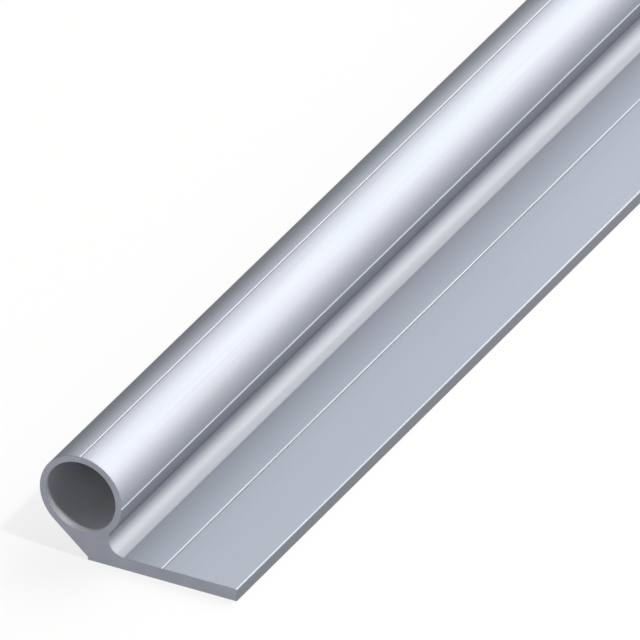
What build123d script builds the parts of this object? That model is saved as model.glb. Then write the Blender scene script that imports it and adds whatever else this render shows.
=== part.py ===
from build123d import *
from math import acos, asin, atan2, cos, degrees, hypot, radians
import os

# Sizes in millimetres. The stock lies along Y, and the flange reaches towards +X.
stock_length = 1000.0
overall_width = 48.0
tube_diameter = 20.0
tube_wall = 1.5
tube_lift = 2.4  # from the top of the flange up to the underside of the tube
flange_thickness = 3.0
toe_offset = 1.65  # from the tube's axis across to the toe below it
toe_height = 0.7
root_radius = 3.5  # hollow between the tube and the flange
edge_radius = 0.4  # both corners of the flange's free edge
groove_width = 0.6
groove_depth = 0.2

# Worked out from the sizes, with X = 0 at mid width and the underside at height 0.
tube_radius = tube_diameter / 2
bore_radius = tube_radius - tube_wall
tube_x = tube_radius - overall_width / 2
tube_height = flange_thickness + tube_lift + tube_radius
free_edge_x = overall_width / 2
toe_x = tube_x + toe_offset
base_middle_x = (toe_x + free_edge_x) / 2

# The root arc touches the tube in this direction from the tube's axis, and the flange below itself.
root_angle = -degrees(asin((tube_lift + tube_radius - root_radius) / (tube_radius + root_radius)))
root_x = tube_x + (tube_radius + root_radius) * cos(radians(root_angle))

# The flank runs from the toe's upper corner and touches the tube in this direction from its axis.
toe_distance = hypot(toe_offset, tube_height - toe_height)
toe_angle = degrees(atan2(toe_height - tube_height, toe_offset))
flank_angle = 360 + toe_angle - degrees(acos(tube_radius / toe_distance))


# The section's outer line, counter-clockwise from the root, round the tube and back along the base.
def outer_line():
    tube_arc = CenterArc((tube_x, tube_height), tube_radius, root_angle, flank_angle - root_angle)
    toe_top = (toe_x, toe_height)
    base = Polyline(toe_top, (toe_x, 0), (free_edge_x, 0), (free_edge_x, flange_thickness))
    root_centre = (root_x, flange_thickness + root_radius)
    root_arc = CenterArc(root_centre, root_radius, 270, root_angle - 90)
    flange_top = Line(base @ 1, root_arc @ 0)
    return [tube_arc, Line(tube_arc @ 1, toe_top), base, flange_top, root_arc]


# A V whose mouth is groove_width wide at height 0, drawn on past it so that the cut is clean.
def groove_cutter():
    return Polygon(
        (-groove_width, groove_depth),
        (0, -groove_depth),
        (groove_width, groove_depth),
        align=None,
    )


# Marking grooves for drilling: on top of the tube, on its side and along the middle of the base.
def groove_places():
    return [
        Pos(tube_x, tube_height + tube_radius),
        Pos(tube_x + tube_radius, tube_height) * Rot(Z=-90),
        Pos(base_middle_x, flange_thickness),
    ]


def section():
    face = make_face(outer_line())
    free_corners = face.vertices().group_by(Axis.X)[-1]
    face = fillet(free_corners, edge_radius)
    face -= Pos(tube_x, tube_height) * Circle(bore_radius)
    for place in groove_places():
        face -= place * groove_cutter()
    return face


profile = extrude(Plane.XZ * section(), stock_length / 2, both=True)
os.makedirs("parts", exist_ok=True)
export_step(profile, "parts/flanged_tube_profile.step")
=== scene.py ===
import math
import bpy
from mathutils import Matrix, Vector


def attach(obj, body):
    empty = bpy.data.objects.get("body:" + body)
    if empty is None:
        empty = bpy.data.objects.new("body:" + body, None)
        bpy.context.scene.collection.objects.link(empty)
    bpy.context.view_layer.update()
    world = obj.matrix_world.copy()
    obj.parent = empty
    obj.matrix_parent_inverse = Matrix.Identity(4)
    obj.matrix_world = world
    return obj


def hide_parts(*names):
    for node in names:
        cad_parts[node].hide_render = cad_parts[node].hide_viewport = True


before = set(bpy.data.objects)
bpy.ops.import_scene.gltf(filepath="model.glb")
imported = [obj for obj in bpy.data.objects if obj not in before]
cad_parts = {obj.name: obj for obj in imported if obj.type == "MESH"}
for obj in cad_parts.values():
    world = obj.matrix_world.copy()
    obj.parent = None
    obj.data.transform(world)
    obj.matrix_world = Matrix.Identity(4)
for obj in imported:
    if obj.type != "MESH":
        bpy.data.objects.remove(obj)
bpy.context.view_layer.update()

scene = bpy.context.scene
print("frame loaded:", len(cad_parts), "node")

# camera
cameraView = {
    "azimuth": 28.002,
    "elevation": 31.258,
    "lens": 1600.0,  # a very long lens, because the long edges stay parallel in the photograph
    "frameWidth": 0.13738,  # what the picture spans at the near end, in metres
    "aimRight": 0.05138,  # from the tube's axis at the near end to the middle of the picture
    "aimUp": 0.03795,
    "nearClip": 0.1,
    "farClip": 6.0,  # times the camera's distance
}


def addCamera(view, nearAxis):
    azimuth, elevation = math.radians(view["azimuth"]), math.radians(view["elevation"])
    back = Vector((
        math.sin(azimuth) * math.cos(elevation),
        -math.cos(azimuth) * math.cos(elevation),
        math.sin(elevation),
    ))
    right = Vector((math.cos(azimuth), math.sin(azimuth), 0))
    up = back.cross(right)
    camera = bpy.data.objects.new("profileCamera", bpy.data.cameras.new("profileCamera"))
    camera.data.lens = view["lens"]
    distance = view["frameWidth"] * view["lens"] / camera.data.sensor_width
    aim = nearAxis + right * view["aimRight"] + up * view["aimUp"]
    camera.location = aim + back * distance
    camera.rotation_mode = "QUATERNION"
    camera.rotation_quaternion = (-back).to_track_quat("-Z", "Y")
    camera.data.clip_start = view["nearClip"]
    camera.data.clip_end = distance * view["farClip"]
    scene.collection.objects.link(camera)
    scene.camera = camera


# section
profileSizes = {
    "length": 1.0,
    "overallWidth": 0.048,
    "tubeRadius": 0.010,
    "tubeWall": 0.0015,
    "tubeLift": 0.0024,  # flange top up to the underside of the tube
    "flangeThickness": 0.003,
    "toeOffset": 0.00165,  # tube's axis across to the toe
    "toeHeight": 0.0007,
    "rootRadius": 0.0034,
    "rootLift": 0.0002,  # the root's lowest point over the flange, but for its run-out
    "runOutRadius": 0.0082,  # the root's last stretch, which ends on the flange in a fine crease
    "runOutAngle": 68.0,
    "edgeRadius": 0.0004,
    "footRadius": 0.00015,
    "grooveWidth": 0.0006,
    "grooveDepth": 0.00011,
    "sideGroove": {"angle": -1.8, "width": 0.0005, "depth": 0.0002},  # the one that faces the flange's edge
    "arcStep": 2.5,  # degrees between points on the large arcs
    "edgeStep": 9.0,  # and on the free edge's small ones
    "sliceLength": 0.05,
    "smoothAngle": 10.0,
    "sawnEdge": 0.00008,  # the saw's burr, taken off at both ends
}


def polar(centre, radius, angle):
    return centre + Vector((math.cos(angle), math.sin(angle))) * radius


def arcPoints(centre, radius, startAngle, endAngle, step):
    count = max(2, math.ceil(abs(endAngle - startAngle) / math.radians(step)))
    return [
        polar(centre, radius, startAngle + (endAngle - startAngle) * i / count)
        for i in range(count + 1)
    ]


def groovePoints(middle, outward, sizes):
    along = Vector((-outward.y, outward.x)) * sizes["grooveWidth"] / 2
    return [middle - along, middle - outward * sizes["grooveDepth"], middle + along]


def tubeArcPoints(centre, sizes, startAngle, endAngle):
    # the arc stops at each groove and goes on past it
    radius, side = sizes["tubeRadius"], sizes["sideGroove"]
    grooves = (
        (math.radians(side["angle"]), side["width"], side["depth"]),
        (math.pi / 2, sizes["grooveWidth"], sizes["grooveDepth"]),
    )
    points, angle = [], startAngle
    for middle, width, depth in grooves:
        halfMouth = math.asin(width / 2 / radius)
        points += arcPoints(centre, radius, angle, middle - halfMouth, sizes["arcStep"])
        points.append(polar(centre, radius - depth, middle))
        angle = middle + halfMouth
    return points + arcPoints(centre, radius, angle, endAngle, sizes["arcStep"])


def tubeCentre(sizes):
    radius, rise = sizes["tubeRadius"], sizes["flangeThickness"] + sizes["tubeLift"]
    return Vector((radius - sizes["overallWidth"] / 2, rise + radius))


def sectionLoops(sizes):
    radius, thickness, root = sizes["tubeRadius"], sizes["flangeThickness"], sizes["rootRadius"]
    edge, tube = sizes["overallWidth"] / 2, tubeCentre(sizes)
    toe = Vector((tube.x + sizes["toeOffset"], sizes["toeHeight"]))
    rootAngle = -math.asin((sizes["tubeLift"] + radius - root - sizes["rootLift"]) / (radius + root))
    rootCentre = polar(tube, radius + root, rootAngle)
    toTube = toe - tube
    flankAngle = 2 * math.pi + math.atan2(toTube.y, toTube.x) - math.acos(radius / toTube.length)

    outer = tubeArcPoints(tube, sizes, rootAngle, flankAngle)
    outer += [toe, Vector((toe.x, 0))]
    foot, corner = sizes["footRadius"], sizes["edgeRadius"]
    for centre, rounding, start in (
        (Vector((edge - foot, foot)), foot, -90),
        (Vector((edge - corner, thickness - corner)), corner, 0),
    ):
        first = math.radians(start)
        outer += arcPoints(centre, rounding, first, first + math.pi / 2, sizes["edgeStep"])
    outer += groovePoints(Vector(((toe.x + edge) / 2, thickness)), Vector((0, 1)), sizes)

    # the root comes back from the flange, its run-out first
    runOut, runOutAngle = sizes["runOutRadius"], math.radians(sizes["runOutAngle"])
    runOutCentre = polar(rootCentre, runOut - root, runOutAngle)
    creaseAngle = math.asin((runOutCentre.y - thickness) / runOut)
    for centre, rounding, start, end in (
        (runOutCentre, runOut, creaseAngle, runOutAngle),
        (rootCentre, root, runOutAngle, rootAngle),
    ):
        outer += arcPoints(centre, rounding, start - math.pi, end - math.pi, sizes["arcStep"])[:-1]
    bore = arcPoints(tube, radius - sizes["tubeWall"], 2 * math.pi, 0, sizes["arcStep"])[:-1]
    return outer, bore


def addSectionCurve(loops):
    curve = bpy.data.curves.new("profileSection", "CURVE")
    curve.dimensions = "3D"
    for loop in loops:
        spline = curve.splines.new("POLY")
        spline.points.add(len(loop) - 1)
        for point, place in zip(spline.points, loop):
            point.co = (place.x, place.y, 0, 1)
        spline.use_cyclic_u = True
    section = bpy.data.objects.new("profileSection", curve)
    scene.collection.objects.link(section)
    return section


# nodes, for the extrusion's tree and for the materials
def addNode(tree, kind, inputs, **settings):
    made = tree.nodes.new(kind)
    for name, value in settings.items():
        setattr(made, name, value)
    for socket, value in inputs.items():
        if isinstance(value, bpy.types.NodeSocket):
            tree.links.new(value, made.inputs[socket])
        else:
            made.inputs[socket].default_value = value
    return made


def addMaths(tree, operation, *values):
    return addNode(tree, "ShaderNodeMath", dict(enumerate(values)), operation=operation).outputs["Value"]


def addVectorMaths(tree, operation, *values):
    return addNode(tree, "ShaderNodeVectorMath", dict(enumerate(values)), operation=operation).outputs


# extrusion, as a node tree
treeSockets = {
    "Section": "Geometry",
    "Length": "Float",
    "Slices": "Int",
    "Smooth Angle": "Float",
    "Bore Axis": "Vector",
    "Bore Radius": "Float",
    "Outer Skin": "Material",
    "Bore Skin": "Material",
    "Sawn End": "Material",
}

# how near or how steep counts, in metres and degrees
margins = {
    "weld": 1e-6,
    "atEnd": 1e-5,
    "pastBore": 1e-5,
    "inZone": 1e-7,
    "steepEdge": 60.0,
    "facingEnd": 0.9,  # of a sawn face's normal, along the length
}


def extrusionTree(paintedLightZones):
    tree = bpy.data.node_groups.new("sawnExtrusion", "GeometryNodeTree")
    sockets = dict(treeSockets)
    for zone in paintedLightZones:
        sockets.update({zone + " Low": "Vector", zone + " High": "Vector", zone + " Skin": "Material"})
    for name, kind in sockets.items():
        tree.interface.new_socket(name, in_out="INPUT", socket_type="NodeSocket" + kind)
    tree.interface.new_socket("Profile", in_out="OUTPUT", socket_type="NodeSocketGeometry")

    def node(kind, inputs, **settings):
        return addNode(tree, kind, inputs, **settings)

    def maths(operation, *values):
        return addMaths(tree, operation, *values)

    given = node("NodeGroupInput", {}).outputs
    halfLength = maths("MULTIPLY", given["Length"], 0.5)
    frontPlace = node("ShaderNodeCombineXYZ", {"Z": halfLength}).outputs[0]
    backPlace = node("ShaderNodeCombineXYZ", {"Z": maths("MULTIPLY", halfLength, -1.0)}).outputs[0]
    line = node("GeometryNodeCurvePrimitiveLine", {"Start": backPlace, "End": frontPlace}).outputs["Curve"]
    rings = maths("ADD", given["Slices"], 1.0)
    path = node("GeometryNodeResampleCurve", {"Curve": line, "Count": rings}).outputs["Curve"]

    # the first spline is the outer line and the second is the bore
    splineIndex = node("GeometryNodeInputIndex", {}).outputs[0]
    loops = {"Geometry": given["Section"], "Selection": splineIndex}
    parted = node("GeometryNodeSeparateGeometry", loops, domain="CURVE").outputs
    pieces = []
    for spline, skin in (("Inverted", "Outer Skin"), ("Selection", "Bore Skin")):
        wall = node("GeometryNodeCurveToMesh", {"Curve": path, "Profile Curve": parted[spline]})
        skinned = {"Geometry": wall.outputs["Mesh"], "Material": given[skin]}
        pieces.append(node("GeometryNodeSetMaterial", skinned).outputs["Geometry"])

    face = node("GeometryNodeFillCurve", {"Curve": given["Section"]}, mode="NGONS").outputs["Mesh"]
    turned = node("GeometryNodeFlipFaces", {"Mesh": face}).outputs["Mesh"]
    for end, place in ((face, frontPlace), (turned, backPlace)):
        moved = node("GeometryNodeTransform", {"Geometry": end, "Translation": place})
        pieces.append(moved.outputs["Geometry"])

    joined = node("GeometryNodeJoinGeometry", {})
    for piece in pieces:
        tree.links.new(piece, joined.inputs[0])
    doubles = {"Geometry": joined.outputs["Geometry"], "Distance": margins["weld"]}
    welded = node("GeometryNodeMergeByDistance", doubles).outputs["Geometry"]
    standing = {"Geometry": welded, "Rotation": (math.pi / 2, 0, 0)}
    lying = node("GeometryNodeTransform", standing).outputs["Geometry"]

    # edges round the two sawn faces, but not the bore's mouth, carry the weight that the edge break reads
    edgeAngle = node("GeometryNodeInputMeshEdgeAngle", {}).outputs["Unsigned Angle"]
    position = node("GeometryNodeInputPosition", {}).outputs[0]
    fromMiddle = maths("ABSOLUTE", node("ShaderNodeSeparateXYZ", {"Vector": position}).outputs["Y"])
    atEnd = maths("LESS_THAN", maths("SUBTRACT", halfLength, fromMiddle), margins["atEnd"])
    steep = maths("GREATER_THAN", edgeAngle, math.radians(margins["steepEdge"]))
    onSection = addVectorMaths(tree, "MULTIPLY", position, (1, 0, 1))["Vector"]
    fromAxis = addVectorMaths(tree, "DISTANCE", onSection, given["Bore Axis"])["Value"]
    outside = maths("GREATER_THAN", maths("SUBTRACT", fromAxis, given["Bore Radius"]), margins["pastBore"])
    weight = maths("MULTIPLY", maths("MULTIPLY", atEnd, steep), outside)
    stored = {"Geometry": lying, "Name": "bevel_weight_edge", "Value": weight}
    weighted = node("GeometryNodeStoreNamedAttribute", stored, data_type="FLOAT", domain="EDGE")
    gentle = maths("LESS_THAN", edgeAngle, maths("RADIANS", given["Smooth Angle"]))
    shaded = {"Geometry": weighted.outputs["Geometry"], "Shade Smooth": gentle}
    smooth = node("GeometryNodeSetShadeSmooth", shaded, domain="EDGE").outputs["Geometry"]
    profile = node("GeometryNodeRealizeInstances", {"Geometry": smooth}).outputs["Geometry"]

    # a zone's skin, a copy of the aluminium with painted shade or painted light, goes on the faces inside
    # its box, whose middles don't move when held to it
    chosen = {}
    for zone in paintedLightZones:
        raised = addVectorMaths(tree, "MAXIMUM", position, given[zone + " Low"])["Vector"]
        kept = addVectorMaths(tree, "MINIMUM", raised, given[zone + " High"])["Vector"]
        shift = addVectorMaths(tree, "DISTANCE", position, kept)["Value"]
        chosen[zone + " Skin"] = maths("LESS_THAN", shift, margins["inZone"])
    normal = node("GeometryNodeInputNormal", {}).outputs[0]
    facing = maths("ABSOLUTE", node("ShaderNodeSeparateXYZ", {"Vector": normal}).outputs["Y"])
    chosen["Sawn End"] = maths("GREATER_THAN", facing, margins["facingEnd"])
    for skin, faces in chosen.items():
        skinned = {"Geometry": profile, "Selection": faces, "Material": given[skin]}
        profile = node("GeometryNodeSetMaterial", skinned).outputs["Geometry"]
    node("NodeGroupOutput", {"Profile": profile})
    return tree


# materials
def newMaterial(name):
    material = bpy.data.materials.new(name)
    material.use_nodes = True
    return material, material.node_tree, material.node_tree.nodes["Principled BSDF"]


def objectPlace(tree):
    return addNode(tree, "ShaderNodeTexCoord", {}).outputs["Object"]


def objectNoise(tree, stretch, scale, detail):
    stretched = addNode(tree, "ShaderNodeMapping", {"Vector": objectPlace(tree), "Scale": stretch})
    inputs = {"Vector": stretched.outputs["Vector"], "Scale": scale, "Detail": detail}
    return addNode(tree, "ShaderNodeTexNoise", inputs).outputs["Fac"]


def rangeOf(tree, value, low, high):
    # most of a noise's values lie between 0.3 and 0.7
    spread = {"Value": value, "From Min": 0.3, "From Max": 0.7, "To Min": low, "To Max": high}
    return addNode(tree, "ShaderNodeMapRange", spread).outputs["Result"]


def tintBetween(tree, value, darker, lighter):
    ramp = addNode(tree, "ShaderNodeValToRGB", {"Fac": value})
    for element, position, tint in zip(ramp.color_ramp.elements, (0.35, 0.65), (darker, lighter)):
        element.position = position
        element.color = (*tint, 1)
    return ramp.outputs["Color"]


def finishSkin(tree, shader, finish, marks, clouds, depth):
    # the marks work the roughness and the relief, and the clouds the tint
    shader.inputs["Metallic"].default_value = finish["metallic"]
    shader.inputs["Specular Tint"].default_value = (finish["edgeTint"],) * 3 + (1,)
    tint = tintBetween(tree, clouds, finish["darker"], finish["lighter"])
    tree.links.new(tint, shader.inputs["Base Color"])
    tree.links.new(rangeOf(tree, marks, *finish["roughness"]), shader.inputs["Roughness"])
    bump = addNode(tree, "ShaderNodeBump", {"Height": marks, "Distance": depth, "Strength": 1.0})
    tree.links.new(bump.outputs["Normal"], shader.inputs["Normal"])


dieSkin = {
    "darker": (0.355, 0.374, 0.424),
    "lighter": (0.383, 0.404, 0.457),
    "roughness": (0.57, 0.63),
    "edgeTint": 0.12,
    "metallic": 1.0,
    "lineStretch": (1.0, 0.004, 1.0),  # die lines run on along the length
    "lineScale": 5200.0,
    "lineDepth": 0.0000012,
    "cloudStretch": (1.0, 0.15, 1.0),
    "cloudScale": 14.0,
}


def extrudedSkin(name, finish):
    material, tree, shader = newMaterial(name)
    lines = objectNoise(tree, finish["lineStretch"], finish["lineScale"], 2.0)
    clouds = objectNoise(tree, finish["cloudStretch"], finish["cloudScale"], 3.0)
    finishSkin(tree, shader, finish, lines, clouds, finish["lineDepth"])
    return material


# painted light: the bore's inside has a much lighter colour than the outer skin and is less metallic, which
# lightens the shade inside the tube
borePaintedLight = {
    **dieSkin,
    "darker": (0.81, 0.82, 0.845),
    "lighter": (0.85, 0.86, 0.885),
    "roughness": (0.5, 0.6),
    "metallic": 0.8,
}

# copies of the die skin with painted shade or painted light: each one's finish and the corners of its box
# on the section, in x and z
# painted shade: the flange's outer side face is darker than the rest of the skin; it is also rougher
flankPaintedShade = {
    **dieSkin,
    "darker": (0.245, 0.26, 0.283),
    "lighter": (0.274, 0.288, 0.312),
    "roughness": (0.66, 0.74),
    "low": (0.02392, 0.0),
    "high": (0.024, 0.003),
}

# painted light: the root fillet is lighter than the rest of the skin, against the tube's shade on it; it is
# also rougher, which is its own finish
rougherFilletPaintedLight = {
    **dieSkin,
    "darker": (0.392, 0.405, 0.444),
    "lighter": (0.42, 0.434, 0.475),
    "roughness": (0.66, 0.72),
    "low": (-0.0072, 0.00302),
    "high": (-0.0036, 0.0072),
}

# painted shade: the flange's top is a little darker and bluer than the rest of the skin
flangePaintedShade = {
    **dieSkin,
    "darker": (0.334, 0.359, 0.411),
    "lighter": (0.359, 0.386, 0.441),
    "low": (-0.0040, 0.0027),
    "high": (0.0237, 0.00301),
}

# painted shade: the tube's lower side above the root is darker than the rest of the skin
underPaintedShade = {
    **dieSkin,
    "darker": (0.30, 0.315, 0.355),
    "lighter": (0.325, 0.34, 0.382),
    "low": (-0.0072, 0.0072),
    "high": (-0.0036, 0.0148),
}

sawCut = {
    "darker": (0.309, 0.319, 0.375),
    "lighter": (0.338, 0.348, 0.404),
    "roughness": (0.46, 0.56),
    "edgeTint": 0.5,
    "metallic": 1.0,
    "bladeCentre": (0.09, 0.0, 0.14),  # the cut marks are arcs about the saw's spindle
    "markScale": 5200.0,
    "markDepth": 0.000002,
    "cloudScale": 160.0,
}


def sawnEndSkin(name, finish):
    material, tree, shader = newMaterial(name)
    reach = addVectorMaths(tree, "SUBTRACT", objectPlace(tree), finish["bladeCentre"])["Vector"]
    flat = addVectorMaths(tree, "MULTIPLY", reach, (1, 0, 1))["Vector"]
    radius = addVectorMaths(tree, "LENGTH", flat)["Value"]
    inputs = {"W": radius, "Scale": finish["markScale"], "Detail": 3.0}
    arcs = addNode(tree, "ShaderNodeTexNoise", inputs, noise_dimensions="1D")
    clouds = objectNoise(tree, (1, 1, 1), finish["cloudScale"], 3.0)
    finishSkin(tree, shader, finish, arcs.outputs["Fac"], clouds, finish["markDepth"])
    return material


# the profile
def addProfile(sizes, skins, paintedLightZones):
    section = addSectionCurve(sectionLoops(sizes))
    tree = extrusionTree(paintedLightZones)
    length, axis = sizes["length"], tubeCentre(sizes)
    values = {
        "Length": length,
        "Slices": round(length / sizes["sliceLength"]),
        "Smooth Angle": sizes["smoothAngle"],
        "Bore Axis": (axis.x, 0, axis.y),
        "Bore Radius": sizes["tubeRadius"] - sizes["tubeWall"],
        **skins,
    }
    for zone, finish in paintedLightZones.items():
        values[zone + " Low"] = (finish["low"][0], -length, finish["low"][1])
        values[zone + " High"] = (finish["high"][0], length, finish["high"][1])
        values[zone + " Skin"] = extrudedSkin(zone.lower() + "Aluminium", finish)
    sweep = section.modifiers.new("extrude", "NODES")
    sweep.node_group = tree
    sockets = {item.name: item.identifier for item in tree.interface.items_tree if item.in_out == "INPUT"}
    for name, value in values.items():
        sweep[sockets[name]] = value
    swept = bpy.data.meshes.new_from_object(section.evaluated_get(bpy.context.evaluated_depsgraph_get()))
    section.modifiers.remove(sweep)
    bpy.data.objects.remove(section)

    profile = bpy.data.objects.new("extrudedProfile", swept)
    scene.collection.objects.link(profile)
    deburr = profile.modifiers.new("deburr", "BEVEL")
    deburr.limit_method = "WEIGHT"
    deburr.width = sizes["sawnEdge"]
    deburr.segments = 1
    deburr.use_clamp_overlap = False
    flats = profile.modifiers.new("flatNormals", "WEIGHTED_NORMAL")  # keeps the flats flat beside the arcs
    flats.keep_sharp = True
    finished = bpy.data.meshes.new_from_object(profile.evaluated_get(bpy.context.evaluated_depsgraph_get()))
    profile.modifiers.clear()
    profile.data = finished
    bpy.data.meshes.remove(swept)
    return profile


# floor and light
studio = {
    "floorRadius": 14.0,
    "floorSides": 96,
    "floorDrop": 0.00005,  # keeps the floor clear of the underside
    "floorColor": (0.14, 0.14, 0.14),
    "floorRoughness": 0.9,
    "floorGlow": 0.775,
    "skyLevel": 0.03,
    "lampDistance": 4.0,
}

warmWhite = (1.0, 0.98, 0.92)
plainWhite = (1.0, 1.0, 1.0)

# each lamp's direction from the near end, width and watts; the back one lights the tube's far side
lamps = {
    "key": {"towards": (0.31, 0.76, 0.575), "width": 4.0, "power": 113.0, "color": warmWhite},
    "wide": {"towards": (0.31, 0.76, 0.575), "width": 6.0, "power": 86.0, "color": warmWhite},
    "left": {"towards": (-0.25, 0.76, 0.6), "width": 4.0, "power": 66.0, "color": plainWhite},
    "right": {"towards": (0.6, 0.6, 0.53), "width": 7.0, "power": 82.0, "color": plainWhite},
    "low": {"towards": (0.68, 0.6, 0.42), "width": 3.0, "power": 24.0, "color": warmWhite},
    "front": {"towards": (0.22, -0.8, 0.56), "width": 2.0, "power": 27.0, "color": plainWhite},
    "back": {"towards": (-0.67, -0.62, 0.4), "width": 3.0, "power": 24.0, "color": plainWhite},
    "side": {"towards": (0.527, -0.105, 0.843), "width": 0.33, "power": 114.0, "color": plainWhite},
}


def addFloor(setup):
    angles = [2 * math.pi * i / setup["floorSides"] for i in range(setup["floorSides"])]
    rim = [Vector((math.cos(angle), math.sin(angle), 0)) * setup["floorRadius"] for angle in angles]
    mesh = bpy.data.meshes.new("studioFloor")
    mesh.from_pydata([(p.x, p.y, -setup["floorDrop"]) for p in rim], [], [tuple(range(len(rim)))])
    floor = bpy.data.objects.new("studioFloor", mesh)
    scene.collection.objects.link(floor)
    material, tree, shader = newMaterial("palePaper")
    shader.inputs["Base Color"].default_value = (*setup["floorColor"], 1)
    shader.inputs["Roughness"].default_value = setup["floorRoughness"]
    shader.inputs["Specular IOR Level"].default_value = 0.0
    # only the camera, metal and glass see the floor's own light
    rays = addNode(tree, "ShaderNodeLightPath", {}).outputs
    seen = rays["Is Camera Ray"]
    for name in ("Is Glossy Ray", "Is Transmission Ray"):
        seen = addMaths(tree, "MAXIMUM", seen, rays[name])
    shader.inputs["Emission Color"].default_value = (1, 1, 1, 1)
    tree.links.new(addMaths(tree, "MULTIPLY", seen, setup["floorGlow"]), shader.inputs["Emission Strength"])
    mesh.materials.append(material)


def addSky(setup):
    world = bpy.data.worlds.new("softSky")
    scene.world = world
    world.use_nodes = True
    background = world.node_tree.nodes["Background"]
    background.inputs["Color"].default_value = (1, 1, 1, 1)
    background.inputs["Strength"].default_value = setup["skyLevel"]


def addLamp(name, setup, target, distance):
    lamp = bpy.data.lights.new(name, "AREA")
    lamp.shape = "DISK"
    lamp.size = setup["width"]
    lamp.energy = setup["power"]
    lamp.color = setup["color"]
    holder = bpy.data.objects.new(name, lamp)
    towards = Vector(setup["towards"]).normalized()
    holder.location = target + towards * distance
    holder.rotation_mode = "QUATERNION"
    holder.rotation_quaternion = towards.to_track_quat("Z", "Y")
    scene.collection.objects.link(holder)


tube = tubeCentre(profileSizes)
nearAxis = Vector((tube.x, -profileSizes["length"] / 2, tube.y))
addCamera(cameraView, nearAxis)
print("camera set")

skins = {
    "Outer Skin": extrudedSkin("extrudedAluminium", dieSkin),
    "Bore Skin": extrudedSkin("boreAluminiumPaintedLight", borePaintedLight),
    "Sawn End": sawnEndSkin("sawnAluminium", sawCut),
}
# each zone is a copy of the skin with painted shade or painted light
paintedLightZones = {"Flank": flankPaintedShade, "Flange": flangePaintedShade, "Root": rougherFilletPaintedLight, "Under": underPaintedShade}
profile = addProfile(profileSizes, skins, paintedLightZones)
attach(profile, "root")
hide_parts("flanged_tube_profile")
print("profile made:", len(profile.data.polygons), "faces")

addFloor(studio)
addSky(studio)
for name, setup in lamps.items():
    addLamp(name + "Softbox", setup, nearAxis, studio["lampDistance"])
scene.view_settings.view_transform = "Standard"
print("floor and light set")
